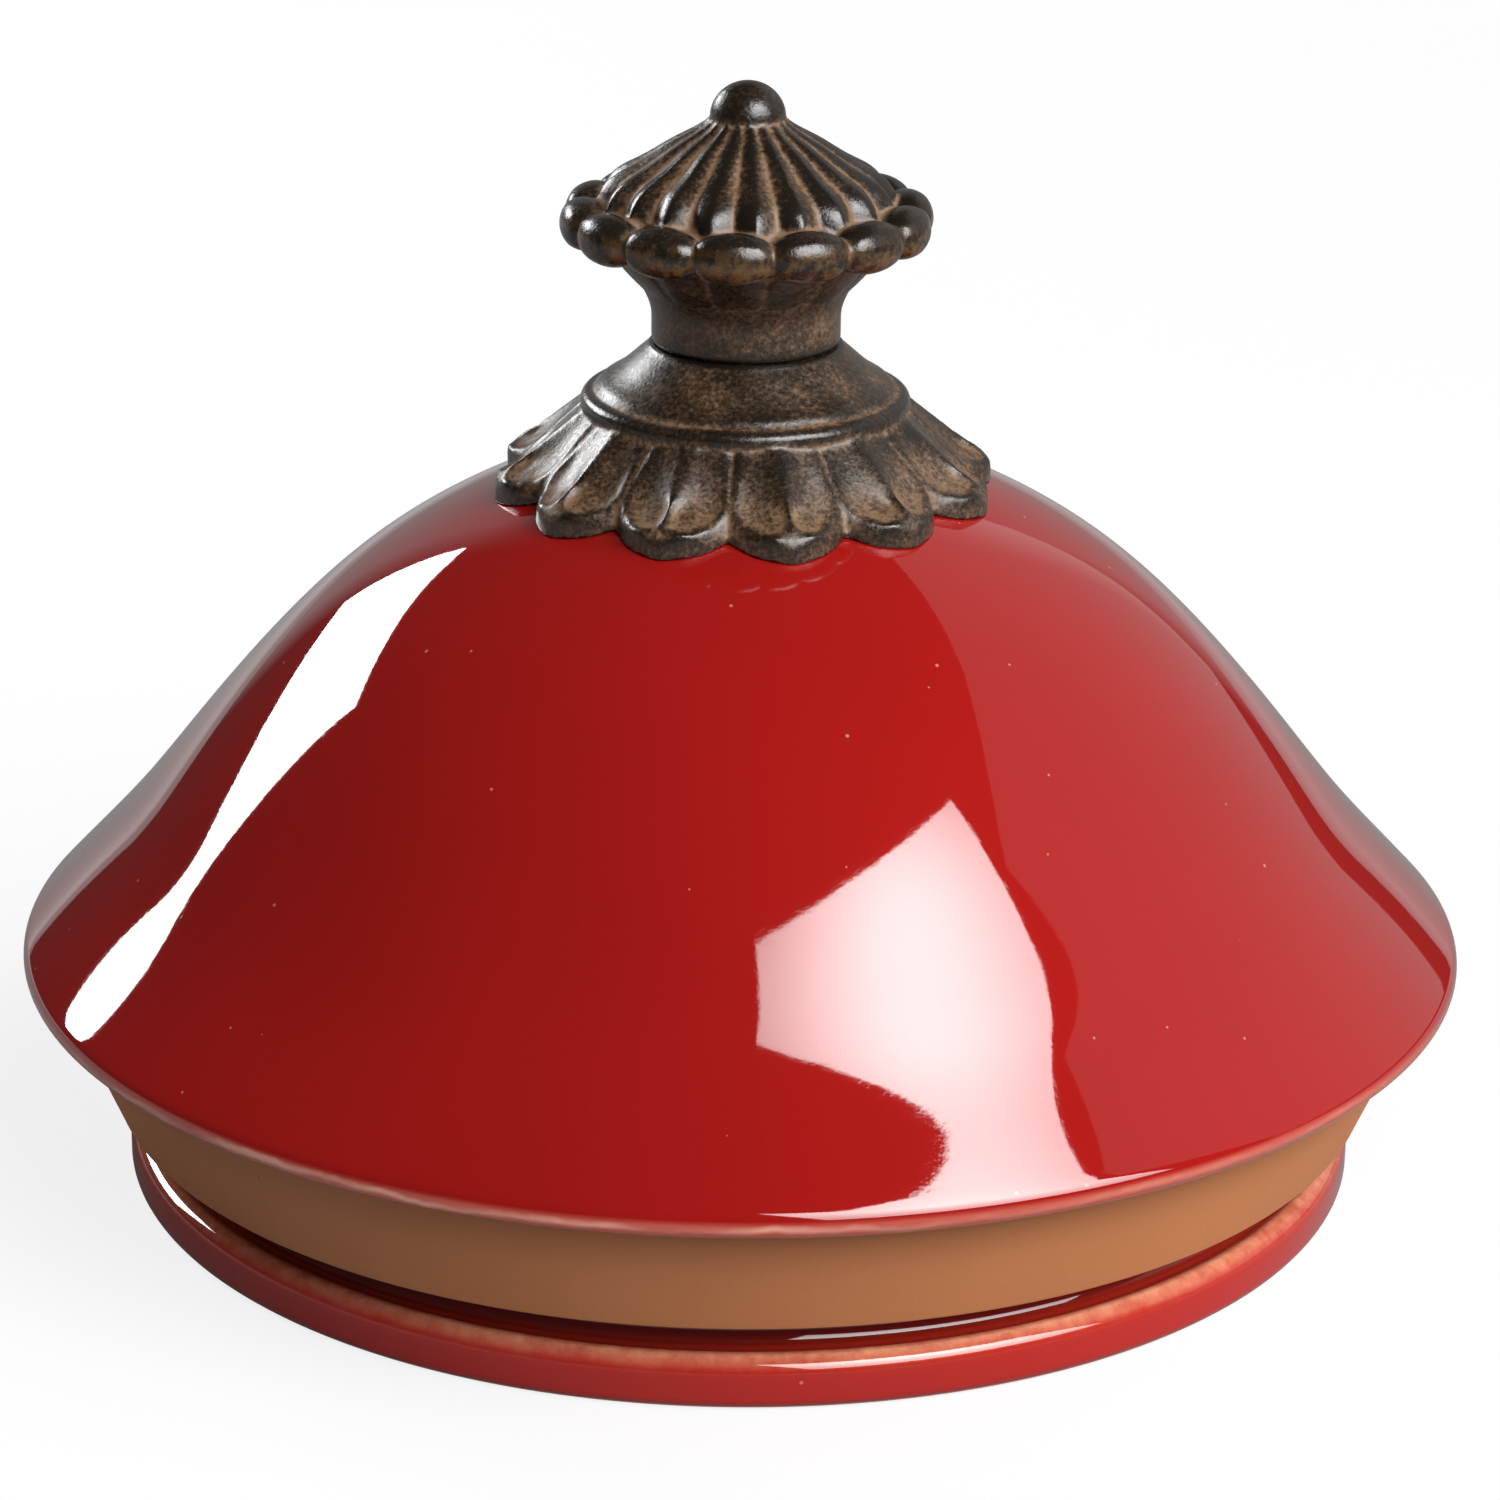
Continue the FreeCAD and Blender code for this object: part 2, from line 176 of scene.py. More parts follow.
def curve_points(knots, first_way, last_way, steps):
    """A curve of even bend through the knots, leaving both ends the ways given."""
    knots = [Vector(knot) for knot in knots]
    spans = [(there - here).length for here, there in zip(knots, knots[1:])]
    ways = [Vector(first_way).normalized()]
    swept = [Vector((0, 0))]
    share = [0.0]
    for i in range(1, len(knots) - 1):
        before, after = spans[i - 1], spans[i]
        pull = 3 * (
            (knots[i] - knots[i - 1]) * after / before + (knots[i + 1] - knots[i]) * before / after
        )
        divisor = 2 * (before + after) - after * share[i - 1]
        share.append(before / divisor)
        first = ways[0] if i == 1 else swept[i - 1]
        swept.append((pull - after * first) / divisor)
    last = Vector(last_way).normalized()
    solved = [last]
    for i in range(len(knots) - 2, 0, -1):
        solved.insert(0, swept[i] - share[i] * solved[0])
    ways += solved
    points = []
    for i, span in enumerate(spans):
        for k in range(steps):
            t = k / steps
            point = (
                knots[i] * (2 * t ** 3 - 3 * t ** 2 + 1)
                + ways[i] * span * (t ** 3 - 2 * t ** 2 + t)
                + knots[i + 1] * (3 * t ** 2 - 2 * t ** 3)
                + ways[i + 1] * span * (t ** 3 - t ** 2)
            )
            points.append((point.x, point.y))
    points.append((knots[-1].x, knots[-1].y))
    return points


def moved_in(knots, gap):
    """The knots of the dome's outline, each moved inwards along its own normal."""
    moved = []
    for i, knot in enumerate(knots):
        before = Vector(knots[max(i - 1, 0)])
        after = Vector(knots[min(i + 1, len(knots) - 1)])
        way = (after - before).normalized()
        moved.append((knot[0] - gap * way.y, knot[1] + gap * way.x))
    return moved


# Modelling helpers

def deselect_all():
    bpy.ops.object.select_all(action="DESELECT")


def start_editing(piece):
    deselect_all()
    piece.select_set(True)
    bpy.context.view_layer.objects.active = piece
    bpy.ops.object.mode_set(mode="EDIT")
    bpy.ops.mesh.select_all(action="SELECT")


def stop_editing():
    bpy.ops.object.mode_set(mode="OBJECT")


def pick(piece, kind, test, among_selected=False):
    """Selects the points, edges or faces whose middle, in millimetres, passes the test."""
    bpy.ops.mesh.select_mode(type=kind)
    mesh = bmesh.from_edit_mesh(piece.data)
    parts = {"VERT": mesh.verts, "EDGE": mesh.edges, "FACE": mesh.faces}[kind]
    chosen = []
    for part in parts:
        corners = [part.co] if kind == "VERT" else [corner.co for corner in part.verts]
        middle = sum(corners, Vector()) / len(corners) / MM
        if test(middle) and (part.select or not among_selected):
            chosen.append(part)
    bpy.ops.mesh.select_all(action="DESELECT")
    for part in chosen:
        part.select_set(True)
    mesh.select_flush_mode()
    bmesh.update_edit_mesh(piece.data)


def shift(x, y, z):
    bpy.ops.transform.translate(value=(x * MM, y * MM, z * MM))


def apply_modifier(piece, kind, **settings):
    deselect_all()
    piece.select_set(True)
    bpy.context.view_layer.objects.active = piece
    modifier = piece.modifiers.new(kind.lower(), kind)
    for key, value in settings.items():
        setattr(modifier, key, value)
    bpy.ops.object.modifier_apply(modifier=modifier.name)


def placed(piece, location=(0, 0, 0), turn=(0, 0, 0)):
    """Moves and turns a piece (mm, degrees) and puts the place into its mesh."""
    deselect_all()
    piece.select_set(True)
    bpy.context.view_layer.objects.active = piece
    piece.location = [value * MM for value in location]
    piece.rotation_euler = [radians(value) for value in turn]
    bpy.ops.object.transform_apply(location=True, rotation=True, scale=True)
    return piece


def ring_of(piece, count, first_angle):
    """Copies of a piece round the axis; angles run from the front (-Y) towards +X."""
    copies = []
    for i in range(count):
        copy = piece.copy()
        copy.data = piece.data.copy()
        bpy.context.scene.collection.objects.link(copy)
        copies.append(placed(copy, turn=(0, 0, first_angle - 90 + 360 * i / count)))
    bpy.data.objects.remove(piece)
    return copies


def joined(name, pieces):
    deselect_all()
    for piece in pieces:
        piece.select_set(True)
    bpy.context.view_layer.objects.active = pieces[0]
    bpy.ops.object.join()
    pieces[0].name = name
    return pieces[0]


def turned(name, outline, steps=turn_steps):
    """Draws a closed outline point by point and spins it about the lid's axis."""
    deselect_all()
    bpy.ops.mesh.primitive_plane_add(size=MM)
    piece = bpy.context.object
    piece.name = name
    start_editing(piece)
    bpy.ops.mesh.merge(type="CENTER")
    shift(outline[0][0], 0, outline[0][1])
    for here, there in zip(outline, outline[1:] + outline[:1]):
        step = ((there[0] - here[0]) * MM, 0, (there[1] - here[1]) * MM)
        bpy.ops.mesh.extrude_region_move(TRANSFORM_OT_translate={"value": step})
    bpy.ops.mesh.select_all(action="SELECT")
    bpy.ops.mesh.remove_doubles(threshold=weld_distance * MM)
    bpy.ops.mesh.select_all(action="SELECT")
    bpy.ops.mesh.spin(steps=steps, angle=2 * pi, center=(0, 0, 0), axis=(0, 0, 1))
    bpy.ops.mesh.select_all(action="SELECT")
    bpy.ops.mesh.remove_doubles(threshold=weld_distance * MM)
    bpy.ops.mesh.normals_make_consistent(inside=False)
    stop_editing()
    bpy.ops.object.shade_smooth_by_angle(angle=radians(50))
    return piece


def mark_hollows(piece, name, reach):
    """Stores how far each point lies below the same surface smoothed over, in millimetres."""
    softened = piece.copy()
    softened.data = piece.data.copy()
    bpy.context.scene.collection.objects.link(softened)
    apply_modifier(softened, "SMOOTH", factor=0.5, iterations=reach)
    layer = piece.data.attributes.new(name, "FLOAT", "POINT")
    for point, soft in zip(piece.data.vertices, softened.data.vertices):
        layer.data[point.index].value = (soft.co - point.co).dot(point.normal) / MM
    bpy.data.objects.remove(softened)


def mark_relief(piece):
    mark_hollows(piece, "hollow", hollow_reach)
    mark_hollows(piece, "edge", edge_reach)


def cast_in_one(piece, grain, soften):
    """Melts overlapping forms into one skin, as a casting has."""
    apply_modifier(piece, "REMESH", mode="VOXEL", voxel_size=grain * MM, use_smooth_shade=True)
    apply_modifier(piece, "SMOOTH", factor=0.5, iterations=soften)


# Lid and seal

brim_centre = (brim_radius - brim_edge_radius, brim_widest_height)
brim_underside = brim_widest_height - brim_lip_radius
dome_start = (
    brim_centre[0] + brim_edge_radius * cos(radians(brim_slope_angle)),
    brim_centre[1] + brim_edge_radius * sin(radians(brim_slope_angle)),
)
dome_way = (-sin(radians(brim_slope_angle)), cos(radians(brim_slope_angle)))
dome_rise = crown_height - dome_start[1]
dome_shares = [(0.862, 0.214), (0.788, 0.354), (0.672, 0.566), (0.533, 0.768), (0.344, 0.936)]
dome_knots = [dome_start]
for radius_share, rise_share in dome_shares:
    dome_knots.append((radius_share * brim_radius, dome_start[1] + rise_share * dome_rise))
dome_knots.append((crown_flat_radius, crown_height))
dome_line = curve_points(dome_knots, dome_way, (-1, 0), 16)


def glaze_height(radius):
    """Height of the glaze at a radius, under the collar."""
    if radius <= crown_flat_radius:
        return crown_height
    for outer, inner in zip(dome_line, dome_line[1:]):
        if inner[0] <= radius <= outer[0]:
            share = (outer[0] - radius) / (outer[0] - inner[0])
            return outer[1] + share * (inner[1] - outer[1])
    return 0.0


def lid_outline():
    neck_inner = neck_radius - wall
    plug_top = plug_edge_radius + plug_wall_length
    plug_round_radius = plug_radius - plug_edge_radius
    crest_centre = plug_radius - crest_round
    crest_height = plug_top + crest_round
    gutter_floor = crest_height - gutter_depth
    crown_inside = crown_height - crown_wall
    foot_centre = (neck_inner + foot_inner_round, foot_inner_round)
    outline = arc_points(foot_centre, foot_inner_round, 180, 270, 5)
    outline += arc_points((plug_round_radius, plug_edge_radius), plug_edge_radius, -90, 0, 8)
    outline += arc_points((crest_centre, plug_top), crest_round, 0, 90, 10)
    gutter = [
        (crest_centre, crest_height),
        (crest_centre - crest_width, gutter_floor),
        (neck_radius, gutter_floor + cove_rise),
    ]
    outline += curve_points(gutter, (-1, 0), (0, 1), 8)[1:]
    fillet_centre = (neck_radius + neck_fillet, brim_underside - neck_fillet)
    outline += arc_points(fillet_centre, neck_fillet, 180, 90, 6)
    lip_centre = (brim_radius - brim_lip_radius, brim_widest_height)
    outline += arc_points(lip_centre, brim_lip_radius, -90, 0, 10)
    outline += arc_points(brim_centre, brim_edge_radius, 0, brim_slope_angle, 10)[1:]
    outline += dome_line[1:]
    outline += [(stud_hole_radius, crown_height), (stud_hole_radius, crown_inside)]
    inside_knots = [(crown_flat_radius - wall / 2, crown_inside)]
    inside_knots += moved_in(dome_knots, wall)[-2:0:-1]
    inside_knots.append((neck_inner, brim_underside - wall))
    outline += curve_points(inside_knots, (1, 0), (0, -1), 8)
    return outline


def seal_outline():
    top = brim_underside - seal_brim_gap
    inner = neck_radius + seal_neck_gap
    root = top - seal_root_height
    sleeve = inner + seal_sleeve
    edge = seal_edge_round

    def lip_radius(height):
        return seal_bottom_radius + seal_flare * (height - seal_bottom_height)

    outline = [
        (inner, seal_bottom_height),
        (sleeve - edge, seal_bottom_height),
        (sleeve, seal_bottom_height + edge),
        (sleeve, root - edge),
        (sleeve + edge, root),
        (lip_radius(root) - seal_lip - edge, root),
        (lip_radius(root) - seal_lip, root - edge),
        (seal_bottom_radius - seal_lip + 0.5 * edge, seal_bottom_height),
    ]
    outline += arc_points((seal_bottom_radius - edge, seal_bottom_height + edge), edge, -90, -10, 5)
    outline += arc_points((lip_radius(top) - edge, top - edge), edge, -10, 90, 5)
    outline += [(inner + neck_fillet, top), (inner, top - neck_fillet)]
    return outline


# Cast collar: turned mouldings with a ring of petals melted into them

def collar_outline():
    shoulder_foot = seat_height - shoulder_drop
    bead_centre = (shoulder_radius + bead_offset[0], shoulder_foot + bead_offset[1])
    outline = [(collar_bore, seat_height), (shoulder_inner_radius - 0.4, seat_height)]
    shoulder = [(shoulder_inner_radius + out, seat_height + rise) for out, rise in shoulder_points]
    shoulder.append((shoulder_radius + shoulder_edge[0], shoulder_foot + shoulder_edge[1]))
    outline += curve_points(shoulder, (1, -0.8), (0.3, -1), 8)
    outline.append((shoulder_radius - groove_depth, bead_centre[1] + 0.8 * bead_radius))
    outline += arc_points(bead_centre, bead_radius, 140, -50, 10)
    plate_edge = (collar_plate_radius, glaze_height(collar_plate_radius) + 0.8)
    outline += [(petal_root[0] - 0.3, petal_root[1] - 0.9), plate_edge]
    for i in range(9):
        radius = collar_plate_radius - i * (collar_plate_radius - crown_flat_radius) / 8
        outline.append((radius, glaze_height(radius) + glaze_gap))
    outline.append((collar_bore, crown_height + glaze_gap))
    return outline


def petal_face(turn):
    """The petal's flat outline, split down the middle: a half round, and sides back to its root."""
    deselect_all()
    bpy.ops.mesh.primitive_circle_add(vertices=48, radius=petal_half_width * MM, fill_type="NGON")
    piece = bpy.context.object
    start_editing(piece)
    shift(turn, 0, 0)
    pick(piece, "VERT", lambda place: place.x < turn - 0.1)
    bpy.ops.mesh.dissolve_verts()
    pick(piece, "EDGE", lambda place: abs(place.x - turn) < 0.05)
    side_steps = 4
    for i in range(side_steps):
        step = (-(turn + petal_tail) / side_steps * MM, 0, 0)
        bpy.ops.mesh.extrude_region_move(TRANSFORM_OT_translate={"value": step})
        bpy.ops.transform.resize(value=(1, petal_root_width ** (1 / side_steps), 1))
    bpy.ops.mesh.select_all(action="SELECT")
    bpy.ops.mesh.dissolve_faces()
    bpy.ops.mesh.select_all(action="SELECT")
    bpy.ops.mesh.bisect(plane_co=(0, 0, 0), plane_no=(0, 1, 0))
    return piece


def petal():
    """One petal, modelled flat (x along it, y across) and then tipped onto its slope."""
    run = (petal_tip[0] - petal_root[0], petal_tip[1] - petal_root[1])
    length = hypot(*run)
    slope = atan2(-run[1], run[0])
    turn = length - petal_half_width
    piece = petal_face(turn)
    bpy.ops.mesh.select_all(action="SELECT")
    layers = ((lip_round, lip_bulge), (lip_height, 0), (lip_round, -lip_bulge), (lip_round, 0))
    for depth, spread in layers:
        plumb = (depth * sin(slope) * MM, 0, -depth * cos(slope) * MM)
        bpy.ops.mesh.extrude_region_move(TRANSFORM_OT_translate={"value": plumb})
        share = 1 + spread / petal_half_width
        bpy.ops.transform.resize(value=(share, share, 1), center_override=(turn * MM, 0, 0))
    pick(piece, "FACE", lambda place: place.z > -0.01)
    steps = ((petal_rim, 0), (lobe_wall, lobe_depth), (lobe_floor_inset, lobe_floor_drop))
    for inset, drop in steps:
        bpy.ops.mesh.inset(thickness=inset * MM, use_individual=True)
        shift(0, 0, -drop)
    narrow_midrib(piece, turn, length)
    close_lobes(piece)
    curl_lip(piece, length)
    arch(piece)
    bpy.ops.mesh.select_all(action="SELECT")
    bpy.ops.mesh.normals_make_consistent(inside=False)
    stop_editing()
    apply_modifier(piece, "SUBSURF", levels=2, render_levels=2)
    return placed(piece, (petal_root[0], 0, petal_root[1]), (0, degrees(slope), 0))


def narrow_midrib(piece, turn, length):
    """Brings the two lobes together on a thin rib, which ends in a bud at the lip."""
    lobe_edge = petal_rim + lobe_wall
    levels = ((0, petal_rim, midrib_half_width / petal_rim), (-lobe_depth, lobe_edge, 0.5))
    for height, reach, share in levels:
        pick(
            piece,
            "VERT",
            lambda place: abs(place.z - height) < 0.01 and 0.05 < abs(place.y) < reach + 0.05,
        )
        bpy.ops.transform.resize(value=(1, share, 1), center_override=(0, 0, 0))
    pick(
        piece,
        "VERT",
        lambda place: 0.05 < abs(place.y) < lobe_edge
        and turn + 4 < place.x < length - 0.5 * petal_rim
        and place.z > -lobe_depth - 0.01,
    )
    shift(-bud_length, 0, 0)


def close_lobes(piece):
    """Brings the lobes' floors up to the petal's face near its root."""
    lobe_bottom = -lobe_depth - lobe_floor_drop
    pick(piece, "VERT", lambda place: place.x < lobe_start and lobe_bottom - 0.05 < place.z < -0.05)
    bpy.ops.transform.resize(value=(1, 1, 0), center_override=(0, 0, 0))


def curl_lip(piece, length):
    """Raises the lip's rim towards the tip."""
    for back in lip_curl_reaches:
        pick(piece, "VERT", lambda place: place.x > length - back and place.z > -0.5 * lip_round)
        shift(0, 0, lip_curl / 2)


def arch(piece):
    """Drops the petal's sides, so that it is a low roof along its midrib."""
    for reach in range(1, 7):
        pick(piece, "VERT", lambda place: abs(place.y) > reach - 0.5)
        shift(0, 0, -petal_arch)


def calm_petal_tops(piece):
    """Fades the petals' rims and ribs out towards their roots, and keeps the valleys between."""
    tops = piece.vertex_groups.new(name="petal_tops")
    run = petal_tip[0] - petal_root[0]
    fade_start, fade_end = [petal_root[0] + share * run for share in calm_fade_shares]
    ceiling = petal_root[1] + calm_root_rise
    spacing = 360 / petal_count
    for point in piece.data.vertices:
        radius = hypot(point.co.x, point.co.y) / MM
        angle = degrees(atan2(point.co.x, -point.co.y)) - petal_first_angle
        from_valley = spacing / 2 - abs((angle + spacing / 2) % spacing - spacing / 2)
        along = min(1.0, (fade_end - radius) / (fade_end - fade_start))
        across = min(1.0, max(0.0, (from_valley - valley_half_angle) / valley_half_angle))
        if point.co.z / MM < ceiling and calm_inner_radius < radius < fade_end:
            tops.add([point.index], along * across, "REPLACE")
    apply_modifier(piece, "SMOOTH", factor=0.5, iterations=calm_rounds, vertex_group="petal_tops")


def sit_on_glaze(piece):
    """Lays the underside on the dome."""
    for point in piece.data.vertices:
        floor = (glaze_height(hypot(point.co.x, point.co.y) / MM) + glaze_gap) * MM
        if point.co.z < floor:
            point.co.z = floor


def cast_collar():
    body = turned("collar_body", collar_outline(), casting_turn_steps)
    petals = ring_of(petal(), petal_count, petal_first_angle)
    piece = joined("collar_casting", [body] + petals)
    cast_in_one(piece, collar_grain, collar_soften)
    calm_petal_tops(piece)
    sit_on_glaze(piece)
    mark_relief(piece)
    return piece


# Cast knob: neck, gadroons, a ring of beads, a fluted cap and a button, melted together

bead_height = seat_height + bead_ring_height
cap_base = bead_height + 0.75 * knob_bead_radius
cap_top = cap_base + cap_height


def neck_outline():
    foot_centre = (neck_foot_radius - neck_foot_round, seat_height + neck_foot_round)
    outline = [(0, seat_height), (foot_centre[0], seat_height)]
    outline += arc_points(foot_centre, neck_foot_round, -80, 0, 4)
    flare = neck_flare_radius - neck_foot_radius
    neck = [
        (neck_foot_radius, seat_height + neck_waist_height),
        (neck_foot_radius + 0.18 * flare, seat_height + 0.46 * bead_ring_height),
        (neck_flare_radius, bead_height - 0.8 * knob_bead_radius),
    ]
    outline += curve_points(neck, (0, 1), (1, 0.5), 8)
    outline += [(bead_ring_radius, bead_height), (cap_base_radius - 1, cap_base), (0, cap_base)]
    return outline


def egg(size, location, tilt):
    """A round form of three half-sizes, made a little squarer, as a cast bead is."""
    deselect_all()
    bpy.ops.mesh.primitive_uv_sphere_add(segments=32, ring_count=20, radius=MM)
    piece = placed(bpy.context.object, turn=(90, 0, 0))
    start_editing(piece)
    bpy.ops.transform.resize(value=size)
    stop_editing()
    apply_modifier(piece, "CAST", cast_type="CUBOID", factor=bead_squareness)
    return placed(piece, location, (0, tilt, 0))


def bead():
    size = (knob_bead_radius, knob_bead_half, knob_bead_radius)
    return egg(size, (bead_ring_radius, 0, bead_height), 0)


def gadroon():
    return egg(gadroon_size, (gadroon_radius, 0, bead_height - gadroon_drop), gadroon_tilt)


def fluted_cap():
    knots = [(share * cap_base_radius, cap_base + rise * cap_height) for share, rise in cap_shares]
    rings = curve_points(knots, (0.1, 1), (-1, 0.9), 6)
    deselect_all()
    columns = flute_count * columns_per_flute
    bpy.ops.mesh.primitive_circle_add(vertices=columns, radius=rings[0][0] * MM, fill_type="NGON")
    piece = bpy.context.object
    start_editing(piece)
    shift(0, 0, rings[0][1])
    for here, there in zip(rings, rings[1:]):
        step = (0, 0, (there[1] - here[1]) * MM)
        bpy.ops.mesh.extrude_region_move(TRANSFORM_OT_translate={"value": step})
        share = there[0] / here[0]
        bpy.ops.transform.resize(value=(share, share, 1), center_override=(0, 0, 0))
    bpy.ops.mesh.select_all(action="SELECT")
    bpy.ops.mesh.normals_make_consistent(inside=False)
    for column in range(columns_per_flute):
        from_groove = min(column, columns_per_flute - column) / (columns_per_flute / 2)
        cut = flute_depth * (1 - from_groove) ** flute_sharpness

        def in_column(place):
            turn = atan2(place.y, place.x) / (2 * pi) * columns
            return abs((turn - column + 0.5) % columns_per_flute - 0.5) < 0.1

        pick(piece, "VERT", in_column)
        bpy.ops.transform.resize(value=(1 - cut, 1 - cut, 1), center_override=(0, 0, 0))
    stop_editing()
    return placed(piece, turn=(0, 0, flute_first_angle - 90))


def button():
    deselect_all()
    bpy.ops.mesh.primitive_uv_sphere_add(segments=48, ring_count=32, radius=button_radius * MM)
    piece = bpy.context.object
    start_editing(piece)
    bpy.ops.transform.resize(value=(1, 1, button_squash))
    stop_editing()
    return placed(piece, (0, 0, cap_top + button_lift))


def cast_knob():
    first_angle = knob_bead_first_angle + 180 / knob_bead_count
    pieces = [turned("knob_neck", neck_outline(), casting_turn_steps), fluted_cap(), button()]
    pieces += ring_of(bead(), knob_bead_count, first_angle)
    pieces += ring_of(gadroon(), knob_bead_count, first_angle)
    piece = joined("knob_casting", pieces)
    cast_in_one(piece, knob_grain, knob_soften)
    mark_relief(piece)
    return piece


# Threaded stud

def threaded_stud():
    low, high = [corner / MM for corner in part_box("finial_stud")]
    turns = int((high.z - low.z) / thread_pitch) + 3
    deselect_all()
    bpy.ops.mesh.primitive_plane_add(size=MM)
    piece = bpy.context.object
    piece.name = "threaded_stud"
    start_editing(piece)
    bpy.ops.mesh.merge(type="CENTER")
    root = thread_radius - thread_depth
    shift(root, 0, low.z - thread_pitch)
    for out, rise in ((0, 0.2), (thread_depth, 0.3), (0, 0.2), (-thread_depth, 0.3)):
        step = (out * MM, 0, rise * thread_pitch * MM)
        bpy.ops.mesh.extrude_region_move(TRANSFORM_OT_translate={"value": step})
    stop_editing()
    apply_modifier(
        piece,
        "SCREW",
        screw_offset=thread_pitch * MM,
        iterations=turns,
        steps=32,
        render_steps=32,
        use_merge_vertices=True,
        merge_threshold=weld_distance * MM,
    )
    start_editing(piece)
    bpy.ops.mesh.remove_doubles(threshold=weld_distance * MM)
    for height, way in ((low.z, -1), (high.z, 1)):
        bpy.ops.mesh.select_all(action="SELECT")
        bpy.ops.mesh.bisect(
            plane_co=(0, 0, height * MM), plane_no=(0, 0, way), use_fill=True, clear_outer=True
        )
    bpy.ops.mesh.select_all(action="SELECT")
    bpy.ops.mesh.normals_make_consistent(inside=False)
    stop_editing()
    bpy.ops.object.shade_smooth_by_angle(angle=radians(35))
    return piece


lid_glaze = turned("lid_glaze", lid_outline())
seal_band = turned("seal_band", seal_outline())
collar_casting = cast_collar()
knob_casting = cast_knob()
stud = threaded_stud()

# Shader values: a socket that takes part in Python expressions

class Value:
    def __init__(self, shading, socket):
        self.shading = shading
        self.socket = socket

    def maths(self, operation, *others, **settings):
        settings["operation"] = operation
        return self.shading.node("ShaderNodeMath", settings, dict(enumerate((self,) + others)))

    def __add__(self, other):
        return self.maths("ADD", other)

    def __sub__(self, other):
        return self.maths("SUBTRACT", other)

    def __mul__(self, other):
        return self.maths("MULTIPLY", other)

    def __truediv__(self, other):
        return self.maths("DIVIDE", other)

    def __pow__(self, other):
        return self.maths("POWER", other)

    def __rsub__(self, other):
        return (self * -1) + other

    __radd__ = __add__
    __rmul__ = __mul__

    def limited(self):
        return self.maths("ADD", 0.0, use_clamp=True)

    def over(self, edge, soft):
        """0 below the edge, 1 above it, with a soft step."""
        return ((self - edge) / soft + 0.5).limited()

    def band(self, low, high, soft):
        return self.over(low, soft) * (1 - self.over(high, soft))

    def near(self, middle, half_width):
        """1 at the middle, falling away to 0 at half_width on either side."""
        return (1 - (self - middle).maths("ABSOLUTE") / half_width).limited()

    def axes(self):
        parts = self.shading.node("ShaderNodeSeparateXYZ", {}, {0: self}, output=None)
        return [Value(self.shading, socket) for socket in parts.outputs]


class Shading:
    """A node tree that is built up by calls."""

    def __init__(self, tree):
        self.tree = tree

    def node(self, kind, settings={}, inputs={}, output=0):
        made = self.tree.nodes.new(kind)
        for key, value in settings.items():
            if key == "stops":
                self.set_stops(made, value)
            else:
                setattr(made, key, value)
        for key, value in inputs.items():
            self.feed(made.inputs[key], value)
        return made if output is None else Value(self, made.outputs[output])

    def set_stops(self, ramp, stops):
        elements = ramp.color_ramp.elements
        while len(elements) < len(stops):
            elements.new(1.0)
        for element, (position, colour) in zip(elements, stops):
            element.position = position
            element.color = (*colour, 1)

    def feed(self, socket, value):
        if isinstance(value, Value):
            self.tree.links.new(value.socket, socket)
        elif isinstance(value, tuple) and len(value) == 3 and socket.type == "RGBA":
            socket.default_value = (*value, 1)
        else:
            socket.default_value = value


class Finish(Shading):
    """One node material, with its Principled shader and its place on the piece in millimetres."""

    def __init__(self, name):
        self.material = bpy.data.materials.new(name)
        self.material.use_nodes = True
        super().__init__(self.material.node_tree)
        self.shader = self.tree.nodes["Principled BSDF"]
        place = self.node("ShaderNodeTexCoord", output="Object")
        scaled = {0: place, "Scale": 1 / MM}
        self.mm = self.node("ShaderNodeVectorMath", {"operation": "SCALE"}, scaled)
        self.x, self.y, self.z = self.mm.axes()
        self.radius = (self.x * self.x + self.y * self.y) ** 0.5

    def noise(self, scale, detail=3.0, roughness=0.5):
        settings = {"Vector": self.mm, "Scale": scale, "Detail": detail, "Roughness": roughness}
        return self.node("ShaderNodeTexNoise", {}, settings)

    def mix(self, factor, first, second):
        return self.node(
            "ShaderNodeMix", {"data_type": "RGBA"}, {0: factor, 6: first, 7: second}, output=2
        )

    def attribute(self, name):
        return self.node("ShaderNodeAttribute", {"attribute_name": name}, output="Fac")

    def specks(self, spacing, size, share):
        """Small dots on some cells of a grid of scattered points."""
        grid = {"Vector": self.mm, "Scale": 1 / spacing}
        cells = self.node("ShaderNodeTexVoronoi", {}, grid, output=None)
        distance = Value(self, cells.outputs["Distance"])
        pick = self.node("ShaderNodeSeparateColor", {}, {0: Value(self, cells.outputs["Color"])})
        dot = 1 - distance.over(size / spacing, 0.3 * size / spacing)
        return dot * pick.over(1 - share, 0.01)

    def bump(self, height, strength, depth):
        return self.node(
            "ShaderNodeBump", {}, {"Strength": strength, "Distance": depth * MM, "Height": height}
        )

    def surface(self, **inputs):
        for key, value in inputs.items():
            self.feed(self.shader.inputs[key.replace("_", " ")], value)
        return self.material


